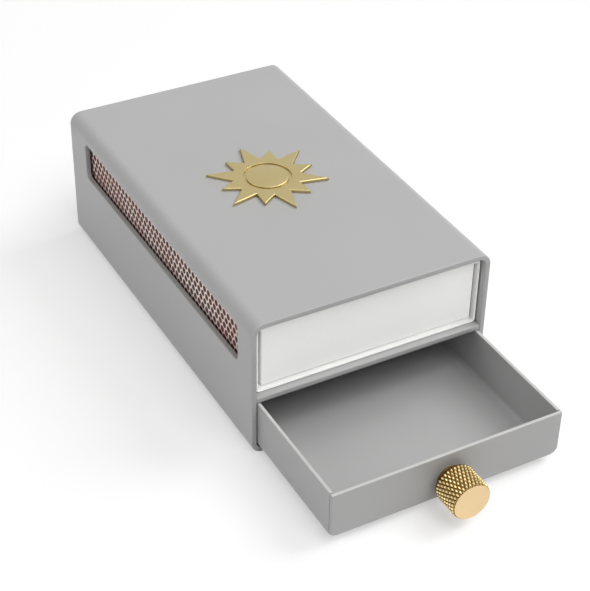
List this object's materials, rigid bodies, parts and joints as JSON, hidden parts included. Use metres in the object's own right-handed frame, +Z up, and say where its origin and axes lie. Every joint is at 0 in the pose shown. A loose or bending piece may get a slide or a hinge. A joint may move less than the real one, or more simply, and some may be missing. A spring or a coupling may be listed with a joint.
{
  "type": "metal matchbox",
  "caption": "Folded sheet metal matchbox case with a side striker window, a household matchbox in the upper bay and a knobbed drawer in the lower bay.",
  "frame": {"origin": "middle of the underside of the case, on the surface it stands on", "axes": "+Z up, -Y to the front where the drawer and the matchbox come out, -X to the side with the window"},
  "size_m": [0.07, 0.1653, 0.0425],
  "materials": {
    "case_coat": "satin powder coat on sheet steel",
    "drawer_coat": "satin powder coat on sheet steel",
    "emblem_gold": "satin gold plate",
    "bond_film": "thin adhesive film",
    "knob_brass": "turned and knurled brass",
    "plated_steel": "zinc plated",
    "white_card": "smooth white card",
    "striking_coat": "brown striking paste printed in a honeycomb of dots",
    "match_wood": "plain aspen",
    "match_paste": "dry match head paste"
  },
  "bodies": {
    "case": {"case_shell": "case_coat", "shelf": "case_coat", "back_panel": "case_coat", "emblem": "emblem_gold", "emblem_film": "bond_film"},
    "drawer": {"drawer_tray": "drawer_coat", "knob": "knob_brass", "knob_screw": "plated_steel", "knob_washer": "plated_steel"},
    "matchbox": {"matchbox_sleeve": "white_card", "striker_left": "striking_coat", "striker_right": "striking_coat"},
    "tray": {"matchbox_tray": "white_card", "match_sticks": "match_wood", "match_heads": "match_paste"}
  },
  "joints": [
    {"name": "drawer_slide", "type": "slide", "parent": "case", "child": "drawer", "axis": [0, -1, 0], "range_m": [-0.038, 0.062]},
    {"name": "matchbox_slide", "type": "slide", "parent": "case", "child": "matchbox", "axis": [0, -1, 0], "range_m": [0, 0.1]},
    {"name": "tray_slide", "type": "slide", "parent": "matchbox", "child": "tray", "axis": [0, -1, 0], "range_m": [0, 0.095]}
  ]
}
